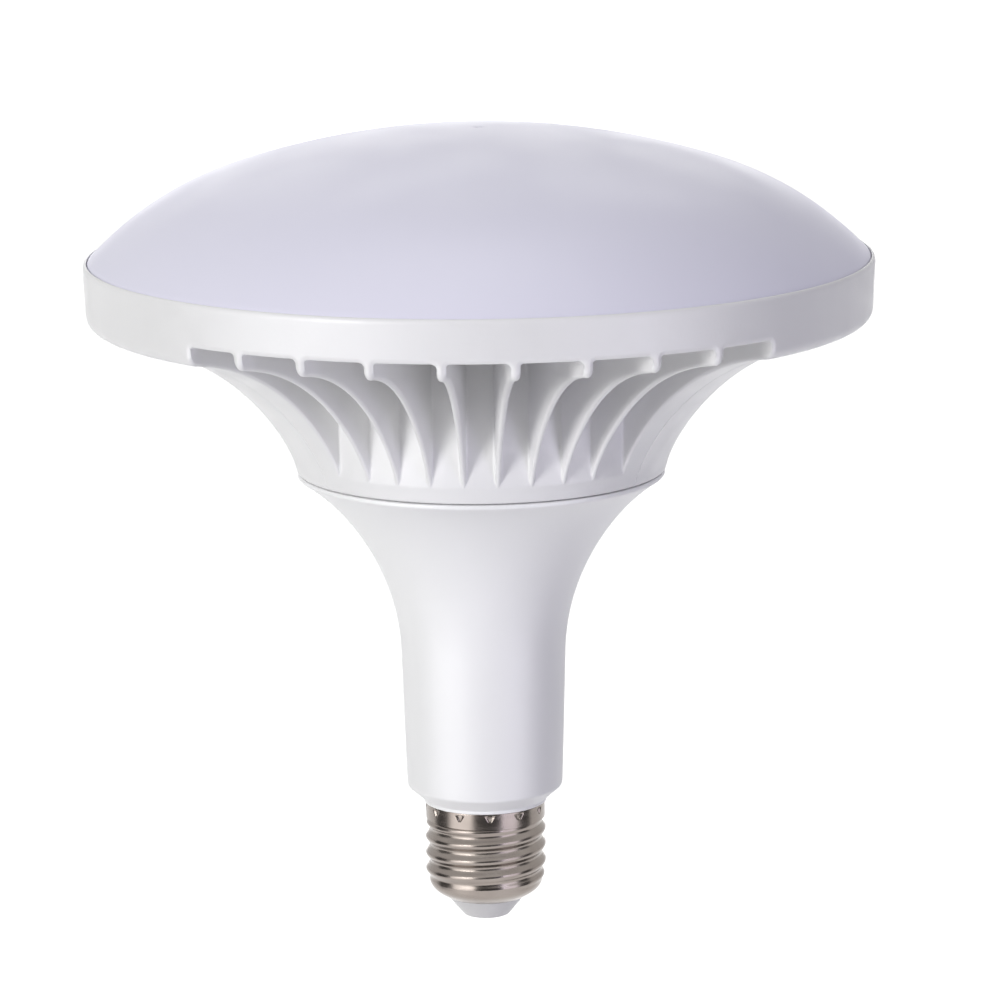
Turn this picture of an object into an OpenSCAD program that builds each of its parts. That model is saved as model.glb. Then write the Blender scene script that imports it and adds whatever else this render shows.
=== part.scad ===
// Mushroom-shaped lamp with a screw cap: a milky dome on a finned, cast aluminium head,
// a trumpet-shaped driver housing and a 27 mm screw cap. The axis is Z, the dome is up,
// and the origin is the tip of the centre contact. Everything is in millimetres.

/* [Screw cap] */
// How far the centre contact stands out below its insulator
contact_h = 0.5; // [0.3:0.1:1]
// Radius of the contact's head
contact_r = 2.4; // [1.8:0.1:3.2]
// Radius of the pin behind the contact's head
pin_r = 0.9; // [0.6:0.1:1.2]
// Radius of the insulator at its lower end
insulator_tip_r = 4.3; // [3.8:0.1:5.5]
// Height of the insulator's cone below the metal shell
insulator_h = 4.5; // [3:0.1:6]
// Radius of the shell at its lower end
shell_end_r = 8.9; // [7.5:0.1:10]
// Height of the shell's rounded shoulder below the thread
shoulder_h = 3.6; // [2.5:0.1:5]
// Radius of the thread at its crests
thread_r = 13.15; // [12.9:0.05:13.4]
// Depth of the thread
thread_depth = 0.9; // [0.6:0.05:1.1]
// Pitch of the thread, seven turns to the inch
thread_pitch = 3.629; // [3.2:0.001:4]
// Height of the threaded stretch
thread_h = 13.9; // [11:0.1:16]
// Radius of the plain collar above the thread
collar_r = 13.0; // [12.6:0.05:13.4]
// Height of the plain collar
collar_h = 3.8; // [3:0.1:6]
// Thickness of the shell's metal
shell_wall = 0.35; // [0.25:0.05:0.5]
// Angle at which the thread's lower crest starts
thread_turn = 60; // [0:5:355]
// Clearance between the shell and the spigot inside it
cap_clear = 0.15; // [0.05:0.05:0.25]

/* [Driver housing] */
// How far the lip stands out over the screw cap's collar
lip_over = 0.4; // [0.1:0.05:1]
// Height of the lip's plain edge
lip_h = 0.6; // [0.3:0.1:1.5]
// Radius of the neck at its lower end, above the sloping shoulder
neck_r = 16.95; // [15.6:0.05:19]
// Height of the sloping shoulder
neck_shoulder_h = 4.1; // [3:0.1:6]
// Height of the near-straight part of the neck
neck_h = 29.7; // [22:0.1:40]
// Draft of the near-straight part, in degrees
neck_draft = 1.7; // [0.5:0.1:3]
// Height of the flare that opens from the neck to the hub
flare_h = 39.9; // [33:0.1:46]
// Radius of the housing at its upper edge
housing_r = 39.55; // [36:0.05:42]
// Height of the plain band at the housing's upper edge
band_h = 0.9; // [0.5:0.1:2]
// Thickness of the housing's wall
housing_wall = 1.8; // [1.4:0.1:2.4]
// Height of the ring that enters the hub
hub_spigot_h = 5; // [3:0.5:8]

/* [Cast head] */
// Gap of the seam between the housing and the head
seam_gap = 0.3; // [0.2:0.05:0.6]
// Radius of the head's skirt at its lower edge
skirt_r = 39.85; // [38:0.05:44]
// Height from the skirt's lower edge to the fins' lower tips
skirt_h = 3.4; // [2:0.1:6]
// Height from the skirt's lower edge to the rim's rounded corner
trumpet_h = 32.9; // [28:0.1:38]
// Radius of the rounded corner below the rim
corner_r = 2.6; // [2:0.1:4]
// Radius of the rim at its upper edge
rim_r = 84.4; // [80:0.1:88]
// How much narrower the rim is at the corner, for draft
rim_draft = 0.4; // [0:0.05:1]
// Height of the rim from the corner to its upper edge
rim_h = 10.8; // [9:0.1:14]
// Radius of the rim's upper edge
rim_edge_r = 0.7; // [0.4:0.05:0.7]
// Thickness of the lip around the diffuser
rim_lip = 0.8; // [0.75:0.05:1.2]
// Thickness of the plate that carries the lights
plate_t = 2.6; // [2.4:0.1:4]
// Height of the plate's underside above the rounded corner's centre
roof_h = 1.8; // [1:0.1:3]
// Radius of the hub between the fins at their lower tips
hub_r = 40.35; // [39.5:0.05:43]
// Draft of the hub between the fins, in degrees
hub_draft = 1.5; // [0.5:0.1:3]
// Inner radius of the hub
hub_bore_r = 37.4; // [35:0.1:38]

/* [Fins] */
// Number of fins in the front group, and in the back group
fin_n = 10; // [6:1:10]
// Fin spaces in a full turn
fin_pitch_n = 36; // [34:1:40]
// Thickness of a fin at its lower tip
fin_t = 1.2; // [1:0.1:1.8]
// Thickness of a fin at the plate
fin_root_t = 2; // [1.6:0.1:2.6]
// Radius of the fillets between the fins and the plate
fin_fillet = 1.3; // [0.8:0.1:2]

/* [Diffuser] */
// Radius of the dome's shallow crown
crown_r = 174.4; // [150:0.2:230]
// Half width of the crown, where the tighter shoulder starts
crown_half = 54.2; // [40:0.2:62]
// Radius of the dome's shoulder
dome_shoulder_r = 69.1; // [62:0.1:90]
// Thickness of the dome's wall
dome_wall = 1.4; // [1:0.1:2]
// Height of the diffuser's plain edge above its ledge
dome_edge_h = 1; // [0.6:0.1:1.4]
// Length of the skirt that holds the diffuser in the rim
dome_skirt_h = 4; // [3:0.1:4.2]
// How far the snap bead stands out
bead = 0.45; // [0.3:0.05:0.6]
// Clearance between the diffuser and the rim
dome_clear = 0.15; // [0.1:0.05:0.3]

/* [Lights] */
// Clearance between the light board and the diffuser's skirt
board_clear = 4.75; // [3:0.25:8]
// Thickness of the light board
board_t = 1.6; // [1:0.1:2]
// Number of rings of light chips
ring_n = 4; // [2:1:5]
// Radius of the innermost ring of light chips
ring_in = 24; // [20:1:30]
// Distance from the outermost ring of light chips to the light board's edge
ring_edge = 6; // [4:0.5:10]
// Number of chips in the innermost ring, added again with each ring
chip_step = 9; // [6:1:11]
// Length of a chip
chip_l = 3.5; // [2.8:0.1:4]
// Width of a chip
chip_w = 2.8; // [2:0.1:3.5]
// Height of a chip
chip_h = 0.8; // [0.5:0.1:1.2]
// Radius of the hole that the wires come up through
wire_hole_r = 5; // [4:0.1:6]
// Radius of the circle of the light board's screws
board_screw_at = 48; // [44:0.5:51]
// Number of screws in the light board
board_screw_n = 4; // [3:1:4]
// Radius of the circle of the housing's screws
post_at = 30; // [27:0.5:31]
// Number of screws in the housing
post_n = 3; // [2:1:3]
// Radius of a screw's shank
screw_r = 1.5; // [1.2:0.05:1.6]
// Radius of a screw's head
screw_head_r = 2.8; // [2.4:0.1:3]
// Height of a screw's head
screw_head_h = 1.8; // [1.4:0.1:2.2]

/* [Driver] */
// Width of the driver's circuit board
pcb_w = 27; // [22:0.5:28]
// Length of the driver's circuit board
pcb_l = 67; // [62:0.5:75]
// Thickness of the driver's circuit board
pcb_t = 1.6; // [1:0.1:1.8]
// Distance of the circuit board's middle plane behind the axis
pcb_back = 4; // [3:0.1:5]
// Width of the transformer's core
transformer_w = 17; // [14:0.5:20]
// Height of the transformer's core above its bobbin's foot
transformer_h = 13; // [11:0.5:14]
// Depth of the transformer's core along the board
transformer_d = 12; // [9:0.5:13]
// Distance of the transformer from the board's lower end
transformer_at = 42; // [41:0.5:43]
// Radius of the input capacitor
input_can_r = 5; // [4:0.5:5.5]
// Length of the input capacitor
input_can_l = 16; // [12:0.5:16]
// Distance of the input capacitor from the board's lower end
input_can_at = 25; // [24:0.5:25.5]
// Radius of the output capacitor
output_can_r = 4; // [3:0.5:4]
// Length of the output capacitor
output_can_l = 10; // [8:0.5:12]
// Distance of the output capacitor from the board's lower end
output_can_at = 56.2; // [56:0.1:57]
// Outer radius of a wire
wire_r = 0.7; // [0.5:0.05:0.8]

/* [Hidden] */
$fn = 96;
fit = 0.05;
over = 1;
curve_n = 22;
front = -90;
back = 90;
// How far the diffuser's edge lies below the rim's, the step down to its skirt, and the
// height of the snap bead above the skirt's lower edge
dome_edge_in = 0.1;
dome_step = 1.3;
bead_up = 1.6;
// Where the driver's parts stand on its board: to the side, and up from its lower end, or
// down from its upper end for the diode
input_can_x = -5.5;
output_can_x = 8;
film_at = [0, 16];
choke_at = [7, 30];
fuse_at = [-8.5, 4];
varistor_at = [8, 8.5];
bridge_at = [-2, 18];
chip_at = [3, 36];
diode_at = [4, 12];

// Heights, from the contact's tip upwards
insulator_z = contact_h;
shell_z = insulator_z + insulator_h;
thread_z = shell_z + shoulder_h;
collar_z = thread_z + thread_h;
shell_top = collar_z + collar_h;
lip_z = shell_top + fit;
neck_z = lip_z + neck_shoulder_h;
flare_z = neck_z + neck_h;
housing_top = flare_z + flare_h;
body_z = housing_top + seam_gap;
fin_tip_z = body_z + skirt_h;
corner_z = body_z + trumpet_h + corner_r;
roof_z = corner_z + roof_h;
plate_z = roof_z + plate_t;
rim_z = corner_z + rim_h;
ledge_z = rim_z - dome_edge_h - dome_edge_in;
board_top_z = plate_z + board_t;

// The shell's inside and the spigot of the housing that it is crimped to
sleeve_r = thread_r - thread_depth - shell_wall;
spigot_r = sleeve_r - cap_clear;
collar_in = collar_r - shell_wall;
lip_r = collar_r + lip_over;
insulator_top = shell_z + 3.2;
pin_top = insulator_top + 0.3;

// The screws of the light board, those of the housing, and the play of the housing's ring
board_turn = 45;
post_turn = 30;
hub_clear = 0.2;
shank_hole_r = screw_r + fit;
board_screw_in = plate_t - 0.4;
post_screw_in = 6.5;

// Points of a cubic curve with two handles
function curve(a, b, c, d, n) = [
  for (i = [0 : n])
    let (t = i / n, s = 1 - t)
    s * s * s * a + 3 * s * s * t * b + 3 * s * t * t * c + t * t * t * d
];

// Points of an arc about c, from angle a0 to angle a1
function arc(c, r, a0, a1, n) = [
  for (i = [0 : n])
    let (a = a0 + (a1 - a0) * i / n)
    [c[0] + r * cos(a), c[1] + r * sin(a)]
];

// Copies of a screw, a hole or a post on a circle of radius r
module around(n, turn, r) {
  for (i = [0 : n - 1])
    rotate(turn + i * 360 / n)
    translate([r, 0, 0])
    children();
}

function shift(pts, by) = [for (p = pts) p + by];
function ray(length, angle) = length * [cos(angle), sin(angle)];
function reversed(pts) = [for (i = [len(pts) - 1 : -1 : 0]) pts[i]];

// A tube of outer radius r along a route, with a flat end at each end of it
module tube(route, r, sides = 8) {
  n = len(route);
  rings = [
    for (i = [0 : n - 1])
      let (
        a = route[max(i - 1, 0)],
        b = route[min(i + 1, n - 1)],
        t = (b - a) / norm(b - a),
        u0 = cross(t, [0, 1, 0.13]),
        u = u0 / norm(u0),
        v = cross(t, u)
      )
      for (k = [0 : sides - 1])
        route[i] + r * (cos(360 * k / sides) * u + sin(360 * k / sides) * v)
  ];
  walls = [
    for (i = [0 : n - 2])
      for (k = [0 : sides - 1])
        let (m = (k + 1) % sides)
        [i * sides + k, (i + 1) * sides + k, (i + 1) * sides + m, i * sides + m]
  ];
  first = [for (k = [0 : sides - 1]) k];
  last = [for (k = [sides - 1 : -1 : 0]) (n - 1) * sides + k];
  polyhedron(points = rings, faces = concat([first], walls, [last]));
}

// A smooth route through a few guide points
function smooth(g, n = 5) = [
  for (i = [0 : len(g) - 2])
    let (
      p0 = g[max(i - 1, 0)],
      p1 = g[i],
      p2 = g[i + 1],
      p3 = g[min(i + 2, len(g) - 1)]
    )
    for (j = [0 : (i == len(g) - 2 ? n : n - 1)])
      let (t = j / n)
      0.5 * (2 * p1 + (p2 - p0) * t + (2 * p0 - 5 * p1 + 4 * p2 - p3) * t * t
        + (3 * p1 - p0 - 3 * p2 + p3) * t * t * t)
];

// The diffuser's outline is two arcs that run into each other
crown_angle = asin(crown_half / crown_r);
dome_r = rim_r - rim_lip - dome_clear;
dome_c = [crown_half - dome_shoulder_r * sin(crown_angle), 0];
dome_edge_a = acos((dome_r - dome_c[0]) / dome_shoulder_r);
dome_z = ledge_z + dome_edge_h - dome_shoulder_r * sin(dome_edge_a);
crown_c = [0, dome_z - (crown_r - dome_shoulder_r) * cos(crown_angle)];
skirt_top_r = dome_r - dome_step;
skirt_in_r = skirt_top_r - dome_wall;
board_r = skirt_in_r - board_clear;
skirt_z = ledge_z - dome_skirt_h;
bead_z = skirt_z + bead_up;

function dome_line(inset, r_end) = let (
  rs = dome_shoulder_r - inset,
  a_end = acos((r_end - dome_c[0]) / rs)
) concat(
  arc([dome_c[0], dome_z], rs, a_end, 90 - crown_angle, 12),
  arc(crown_c, crown_r - inset, 90 - crown_angle, 90, 12)
);

module diffuser() {
  outside = concat([
      [skirt_in_r, skirt_z],
      [skirt_top_r, skirt_z],
      [skirt_top_r, bead_z - bead],
      [skirt_top_r + bead, bead_z],
      [skirt_top_r, bead_z + bead],
      [skirt_top_r, ledge_z],
      [dome_r, ledge_z]
    ], dome_line(0, dome_r));
  inside = reversed(dome_line(dome_wall, skirt_in_r));
  color("#cfcfe2")
  rotate_extrude($fn = 180)
  polygon(concat(outside, inside));
}

// The head's outer curve, from the skirt's lower edge up to the rim's lip
underside_angle = 8.1;
corner_c = [rim_r - rim_draft - corner_r, corner_z];
trumpet_end = corner_c + ray(corner_r, underside_angle - 90);
trumpet_low = [skirt_r, body_z];
trumpet_line = curve(
  trumpet_low,
  trumpet_low + [0.25, 5.5],
  trumpet_end - ray(29.3, underside_angle),
  trumpet_end,
  curve_n
);
head_line = concat(
  trumpet_line,
  arc(corner_c, corner_r, underside_angle - 72, 0, 5),
  arc([rim_r - rim_edge_r, rim_z - rim_edge_r], rim_edge_r, 0, 90, 4)
);

module head_outside(bore) {
  rotate_extrude($fn = 180)
  polygon(concat(head_line, [[bore, rim_z], [bore, body_z]]));
}

// Half the thickness of a fin at height z, which has draft
function fin_half(z) =
  (fin_t + (fin_root_t - fin_t) * (z - fin_tip_z) / (roof_z - fin_tip_z)) / 2;

// A fin's section across its length, with a fillet to the plate on each side, which
// meets the plate's underside a little before it runs level
module fin_section() {
  low = fin_tip_z - 4 * over;
  bend_z = roof_z - fin_fillet + 0.03;
  side = concat(
    [[fin_half(low), low]],
    arc([fin_half(bend_z) + fin_fillet, bend_z], fin_fillet, 180, 90, 6),
    [[fin_half(bend_z) + fin_fillet, roof_z + over]]
  );
  polygon(concat(side, reversed([for (p = side) [-p[0], p[1]]])));
}

fin_pitch = 360 / fin_pitch_n;
fins_half = (fin_n - 1) / 2 * fin_pitch;

// The group's fins, from the first to the last, along which the channels lie
module fins() {
  fin_in = hub_bore_r + 1;
  for (i = [0 : fin_n - 1])
    rotate(i * fin_pitch - fins_half)
    translate([fin_in, 0, 0])
    rotate([90, 0, 90])
    linear_extrude(rim_r + 3 * over - fin_in)
    fin_section();
}

// The channels between the first and the last fin of a group
module channels() {
  rise = roof_z - fin_tip_z;
  low = fin_tip_z - 3 * over;
  low_r = hub_r - 3 * over * tan(hub_draft);
  difference() {
    rotate(-fins_half)
      rotate_extrude(angle = 2 * fins_half, $fn = 180)
      polygon([
        [low_r, low],
        [rim_r + over, low],
        [rim_r + over, roof_z],
        [hub_r + rise * tan(hub_draft), roof_z]
      ]);
    fins();
  }
}

// The solid side of the head is cored out under the light board
module side_core(side) {
  half = 30;
  wall = 2.6;
  core_in = hub_r + 4;
  core_out = board_r - 5;
  line = [
    for (p = shift(trumpet_line, [-wall, wall]))
      if (p[0] > core_in + 0.5 && p[0] < core_out - 0.5 && p[1] < roof_z - 0.5) p
  ];
  first_z = line[0][1] - 1;
  rotate(side - half)
  rotate_extrude(angle = 2 * half, $fn = 180)
  polygon(concat(
    [[core_in, plate_z + over], [core_in, first_z]],
    line,
    [[core_out, roof_z], [core_out, plate_z + over]]
  ));
}

module heat_sink_body() {
  inner_r = skirt_top_r + dome_clear;
  lip_in = dome_r + dome_clear;
  groove = bead + dome_clear;
  color("#e9e9ee")
  difference() {
    union() {
      head_outside(hub_bore_r);
      translate([0, 0, roof_z])
        cylinder(r = hub_bore_r + 0.5, h = plate_t, $fn = 180);
    }
    for (group = [front, back])
      rotate(group)
      channels();
    // The dish inside the rim, its ledge and the groove for the snap bead
    rotate_extrude($fn = 180)
    polygon([
      [0, plate_z],
      [inner_r, plate_z],
      [inner_r, bead_z - groove],
      [inner_r + groove, bead_z],
      [inner_r, bead_z + groove],
      [inner_r, ledge_z],
      [lip_in, ledge_z],
      [lip_in, rim_z + over],
      [0, rim_z + over]
    ]);
    side_core(0);
    side_core(180);
    translate([0, 0, roof_z - over])
      cylinder(r = wire_hole_r, h = plate_t + 2 * over, $fn = 48);
    around(board_screw_n, board_turn, board_screw_at)
      translate([0, 0, plate_z - board_screw_in - 0.1])
      cylinder(r = shank_hole_r, h = board_screw_in + over, $fn = 32);
    around(post_n, post_turn, post_at)
      translate([0, 0, roof_z - over])
      cylinder(r = screw_r + 0.2, h = plate_t + 2 * over, $fn = 32);
  }
}

// The housing's outer curve, from the lip over the cap up to its upper edge
neck_top_r = neck_r + neck_h * tan(neck_draft);
flare_end = [housing_r - 0.55, housing_top - band_h - 0.35];
neck_line = concat(
  [[lip_r - 0.25, lip_z], [lip_r, lip_z + 0.25], [lip_r, lip_z + lip_h]],
  arc([neck_r - 1, neck_z + 0.6], 1, -45, -neck_draft, 4),
  curve(
    [neck_top_r, flare_z],
    [neck_top_r, flare_z] + ray(18.7, 90 - neck_draft),
    flare_end - ray(10.3, 32.3),
    flare_end,
    curve_n
  ),
  arc([housing_r - 0.5, housing_top - band_h + 0.1], 0.5, -45, 0, 3),
  [[housing_r, housing_top - 0.2], [housing_r - 0.2, housing_top]]
);

spigot_in = spigot_r - housing_wall;
spigot_z = thread_z + 2.5;
floor_z = neck_z + 0.6;
pcb_z = floor_z;
pcb_front = -pcb_back + pcb_t / 2;
pcb_rear = -pcb_back - pcb_t / 2;

module housing_shell() {
  ring_out = hub_bore_r - hub_clear;
  ring_in = ring_out - housing_wall;
  neck_in = neck_r - housing_wall;
  inside = [
    for (p = shift(neck_line, [-housing_wall, 0.7 * housing_wall]))
      if (p[1] > flare_z && p[0] < ring_in - 0.3) p
  ];
  rotate_extrude($fn = 144)
  polygon(concat(
    [
      [spigot_in, spigot_z],
      [spigot_r, spigot_z],
      [spigot_r, collar_z + 0.4],
      [collar_in - cap_clear, collar_z + 1.3],
      [collar_in - cap_clear, lip_z]
    ],
    neck_line,
    [[ring_out, housing_top], [ring_out, housing_top + hub_spigot_h],
     [ring_in, housing_top + hub_spigot_h], [ring_in, housing_top]],
    reversed(inside),
    [[neck_in, floor_z], [spigot_in, floor_z]]
  ));
}

// Two pairs of ribs hold the circuit board's edges
module board_rails() {
  rib_t = 1.2;
  slot = pcb_t + 0.3;
  rib_in = pcb_w / 2 - 1.2;
  intersection() {
    translate([0, 0, floor_z - 0.2])
      cylinder(r = neck_r - housing_wall + 0.3, h = neck_h - 2, $fn = 144);
    for (side = [-1, 1])
      for (edge = [-1, 1])
        scale([side, 1, 1])
        translate([rib_in, -pcb_back + edge * (slot + rib_t) / 2 - rib_t / 2, floor_z - 0.2])
        cube([8, rib_t, neck_h - 4]);
  }
}

module driver_housing() {
  post_r = 3.4;
  post_z = housing_top - 12;
  hole_l = post_screw_in + 1.5;
  color("#ececf0")
  difference() {
    union() {
      housing_shell();
      board_rails();
      intersection() {
        around(post_n, post_turn, post_at)
          translate([0, 0, post_z])
          cylinder(r = post_r, h = roof_z - post_z, $fn = 48);
        rotate_extrude($fn = 144)
        polygon(concat(
          shift(neck_line, [-0.8, 0.5]),
          [
            [hub_bore_r - hub_clear, housing_top],
            [hub_bore_r - hub_clear, roof_z],
            [0, roof_z],
            [0, lip_z]
          ]
        ));
      }
    }
    around(post_n, post_turn, post_at)
      translate([0, 0, roof_z - hole_l])
      cylinder(r = shank_hole_r, h = hole_l + over, $fn = 32);
  }
}

// Radius of the shell's outside at height z and angle a: the thread is a right-hand helix
// whose round crests fade out at both ends of the threaded stretch
root_r = thread_r - thread_depth;

function thread_at(z, a) = let (
  turn = (z - thread_z) / thread_pitch - (a + thread_turn) / 360,
  wave = (1 + cos(360 * turn)) / 2,
  fade_low = min(1, (z - thread_z) / 1.4),
  fade_high = min(1, (collar_z - z) / 1.4),
  fade = max(0, min(fade_low, fade_high))
) root_r + thread_depth * (wave * fade + 0.15 * (1 - fade));

// The threaded stretch as one solid rod, with flat ends
module thread_rod() {
  rows = 34;
  cols = 40;
  z0 = thread_z;
  z1 = collar_z + 0.2;
  points = [
    for (i = [0 : rows])
      for (k = [0 : cols - 1])
        let (z = z0 + (z1 - z0) * i / rows, a = 360 * k / cols, r = thread_at(z, a))
        [r * cos(a), r * sin(a), z]
  ];
  wall = [
    for (i = [0 : rows - 1])
      for (k = [0 : cols - 1])
        let (low = i * cols + k, low_next = i * cols + (k + 1) % cols)
        each [[low, low_next + cols, low_next], [low, low + cols, low_next + cols]]
  ];
  low_end = [for (k = [0 : cols - 1]) k];
  high_end = [for (k = [cols - 1 : -1 : 0]) rows * cols + k];
  polyhedron(points = points, faces = concat(wall, [low_end, high_end]));
}

shoulder_line = curve(
  [shell_end_r, shell_z],
  [shell_end_r + 1.9, shell_z + 1.1],
  [root_r, shell_z + 2.1],
  [root_r, thread_z + 0.4],
  8
);
shell_mouth_r = shell_end_r - 0.3;

module shell_inside() {
  line = [for (p = shift(shoulder_line, [-shell_wall, 0.2])) if (p[0] > shell_mouth_r + 0.1) p];
  rotate_extrude()
  polygon(concat(
    [[0, shell_z - over], [shell_mouth_r, shell_z - over], [shell_mouth_r, line[0][1] - 0.1]],
    line,
    [
      [sleeve_r, collar_z],
      [collar_in, collar_z + 0.8],
      [collar_in, shell_top + over],
      [0, shell_top + over]
    ]
  ));
}

module cap_shell() {
  color("#a39c94")
  difference() {
    union() {
      rotate_extrude()
      polygon(concat([[0, shell_z]], shoulder_line, [[0, thread_z + 0.4]]));
      thread_rod();
      rotate_extrude()
      polygon([
        [0, collar_z - 0.1],
        [root_r - 0.05, collar_z - 0.1],
        [collar_r, collar_z + 0.5],
        [collar_r, shell_top],
        [0, shell_top]
      ]);
    }
    shell_inside();
  }
}

module cap_insulator() {
  hole = shell_mouth_r - fit;
  color("#e8e8ea")
  difference() {
    rotate_extrude()
    polygon([
      [0, insulator_z],
      [insulator_tip_r - 0.3, insulator_z],
      [insulator_tip_r, insulator_z + 0.25],
      [hole, shell_z - 0.15],
      [hole, shell_z + 0.7],
      [hole + 0.5, shell_z + 1.3],
      [hole + 0.5, insulator_top],
      [0, insulator_top]
    ]);
    translate([0, 0, -over])
      cylinder(r = pin_r + fit, h = insulator_top + 2 * over, $fn = 32);
  }
}

module centre_contact() {
  color("#c9c4b8")
  rotate_extrude($fn = 48)
  polygon([
    [0, 0],
    [contact_r - 0.8, 0],
    [contact_r - 0.2, 0.15],
    [contact_r, contact_h - 0.1],
    [contact_r, contact_h],
    [pin_r, contact_h],
    [pin_r, pin_top],
    [0, pin_top]
  ]);
}

module led_board() {
  color("#f2f2ee")
  difference() {
    translate([0, 0, plate_z])
      cylinder(r = board_r, h = board_t, $fn = 180);
    translate([0, 0, plate_z - over])
      cylinder(r = wire_hole_r - 1, h = board_t + 2 * over, $fn = 48);
    around(board_screw_n, board_turn, board_screw_at)
      translate([0, 0, plate_z - over])
      cylinder(r = screw_r + 0.1, h = board_t + 2 * over, $fn = 32);
    around(post_n, post_turn, post_at)
      translate([0, 0, plate_z - over])
      cylinder(r = screw_head_r + 0.4, h = board_t + 2 * over, $fn = 32);
  }
}

module led_chips() {
  ring_step = (board_r - ring_edge - ring_in) / (ring_n - 1);
  color("#f3e08a")
  for (ring = [0 : ring_n - 1])
    for (i = [0 : (ring + 1) * chip_step - 1])
      rotate((i + 0.5) * 360 / ((ring + 1) * chip_step))
      translate([ring_in + ring * ring_step, 0, board_top_z + chip_h / 2])
      cube([chip_w, chip_l, chip_h], center = true);
}

// A screw with its head's underside at z = 0, pointing down
module screw(length) {
  slot_w = 0.6;
  slot_l = screw_head_r;
  difference() {
    rotate_extrude($fn = 32)
    polygon([
      [0, -length],
      [screw_r - 0.5, -length],
      [screw_r, -length + 0.6],
      [screw_r, 0],
      [screw_head_r, 0],
      [screw_head_r, screw_head_h * 0.6],
      [screw_head_r * 0.6, screw_head_h],
      [0, screw_head_h]
    ]);
    for (turn = [0, 90])
      rotate(turn)
      translate([-slot_l / 2, -slot_w / 2, screw_head_h - 0.8])
      cube([slot_l, slot_w, over]);
  }
}

module board_screws() {
  color("#b9bbbf")
  around(board_screw_n, board_turn, board_screw_at)
    translate([0, 0, board_top_z])
    screw(board_t + board_screw_in);
}

module housing_screws() {
  color("#b9bbbf")
  around(post_n, post_turn, post_at)
    translate([0, 0, plate_z])
    screw(plate_t + post_screw_in);
}

module wire_bush() {
  flange = 1.6;
  hole = wire_hole_r - 2.4;
  color("#f0efe9")
  rotate_extrude($fn = 48)
  polygon([
    [hole, roof_z - 1],
    [wire_hole_r + flange, roof_z - 1],
    [wire_hole_r + flange, roof_z],
    [wire_hole_r - fit, roof_z],
    [wire_hole_r - fit, plate_z],
    [wire_hole_r - 1 - fit, plate_z],
    [wire_hole_r - 1 - fit, board_top_z + 0.2],
    [hole, board_top_z + 0.2]
  ]);
}

connector_y = 12;
connector_hole_x = 1.5;
connector_hole_z = board_top_z + 1.6;

module led_connector() {
  w = 6.4;
  d = 5.6;
  h = 4.2;
  color("#f4f2e8")
  difference() {
    translate([-w / 2, connector_y - d / 2, board_top_z])
      cube([w, d, h]);
    for (side = [-1, 1])
      translate([side * connector_hole_x, connector_y - d / 2 - over, connector_hole_z])
      rotate([-90, 0, 0])
      cylinder(r = wire_r + fit, h = 3 + over, $fn = 24);
  }
}

module driver_board() {
  color("#3f7a4e")
  translate([-pcb_w / 2, pcb_rear, pcb_z])
    cube([pcb_w, pcb_t, pcb_l]);
}

// A round can that lies on the circuit board along Z, with its crimped neck
module can_along_z(r, length, x, z) {
  translate([x, pcb_front + r, z])
    rotate_extrude($fn = 48)
    polygon([
      [0, 0],
      [r - 0.4, 0],
      [r, 0.4],
      [r, 1.2],
      [r - 0.4, 1.6],
      [r, 2],
      [r, length - 0.4],
      [r - 0.4, length],
      [0, length]
    ]);
  for (side = [-1, 1])
    translate([x + side * r / 2.5, pcb_front + r * 0.8, z - 1.4])
    cylinder(r = 0.3, h = 1.5, $fn = 16);
}

module input_capacitor() {
  color("#2c3550")
  can_along_z(input_can_r, input_can_l, input_can_x, pcb_z + input_can_at);
}

module output_capacitor() {
  color("#2c3550")
  can_along_z(output_can_r, output_can_l, output_can_x, pcb_z + output_can_at);
}

module film_capacitor() {
  w = 13;
  h = 11;
  d = 6;
  color("#d8b13c")
  translate([film_at[0] - w / 2, pcb_front, pcb_z + film_at[1]])
    cube([w, h, d]);
}

module choke() {
  r = 4;
  h = 9;
  cheek = 1.2;
  coil_r = r - 0.6;
  color("#6b5a4c")
  translate([choke_at[0], pcb_front, pcb_z + choke_at[1]])
    rotate([-90, 0, 0])
    rotate_extrude($fn = 48)
    polygon([
      [0, 0],
      [r, 0],
      [r, cheek],
      [coil_r, cheek],
      [coil_r, h - cheek],
      [r, h - cheek],
      [r, h],
      [0, h]
    ]);
}

module fuse_resistor() {
  r = 1.7;
  l = 9;
  end_r = r - 0.3;
  waist_r = r - 0.25;
  lead = 1.6;
  color("#4f9aa8")
  translate([fuse_at[0], pcb_front + r, pcb_z + fuse_at[1]]) {
    rotate_extrude($fn = 32)
    polygon([
      [0, 0],
      [end_r, 0],
      [r, 0.5],
      [r, 1.8],
      [waist_r, 2.3],
      [waist_r, l - 2.3],
      [r, l - 1.8],
      [r, l - 0.5],
      [end_r, l],
      [0, l]
    ]);
    for (end = [0.1 - lead, l - 0.1])
      translate([0, 0, end])
      cylinder(r = 0.35, h = lead, $fn = 16);
  }
}

module varistor() {
  r = 3.8;
  t = 3.6;
  color("#3a66b0")
  translate([varistor_at[0] - t / 2, pcb_front + r, pcb_z + varistor_at[1]])
    rotate([0, 90, 0])
    cylinder(r = r, h = t, $fn = 48);
}

// A flat part on the back of the circuit board
module chip_on_rear(w, h, t, x, z) {
  translate([x - w / 2, pcb_rear - t, z])
    cube([w, t, h]);
}

module bridge_rectifier() {
  color("#26262a")
  chip_on_rear(5, 4.2, 1.7, bridge_at[0], pcb_z + bridge_at[1]);
}

module driver_chip() {
  color("#26262a")
  chip_on_rear(4, 5, 1.5, chip_at[0], pcb_z + chip_at[1]);
}

module output_diode() {
  color("#26262a")
  chip_on_rear(3.6, 4.4, 2.2, diode_at[0], pcb_z + pcb_l - diode_at[1]);
}

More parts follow.
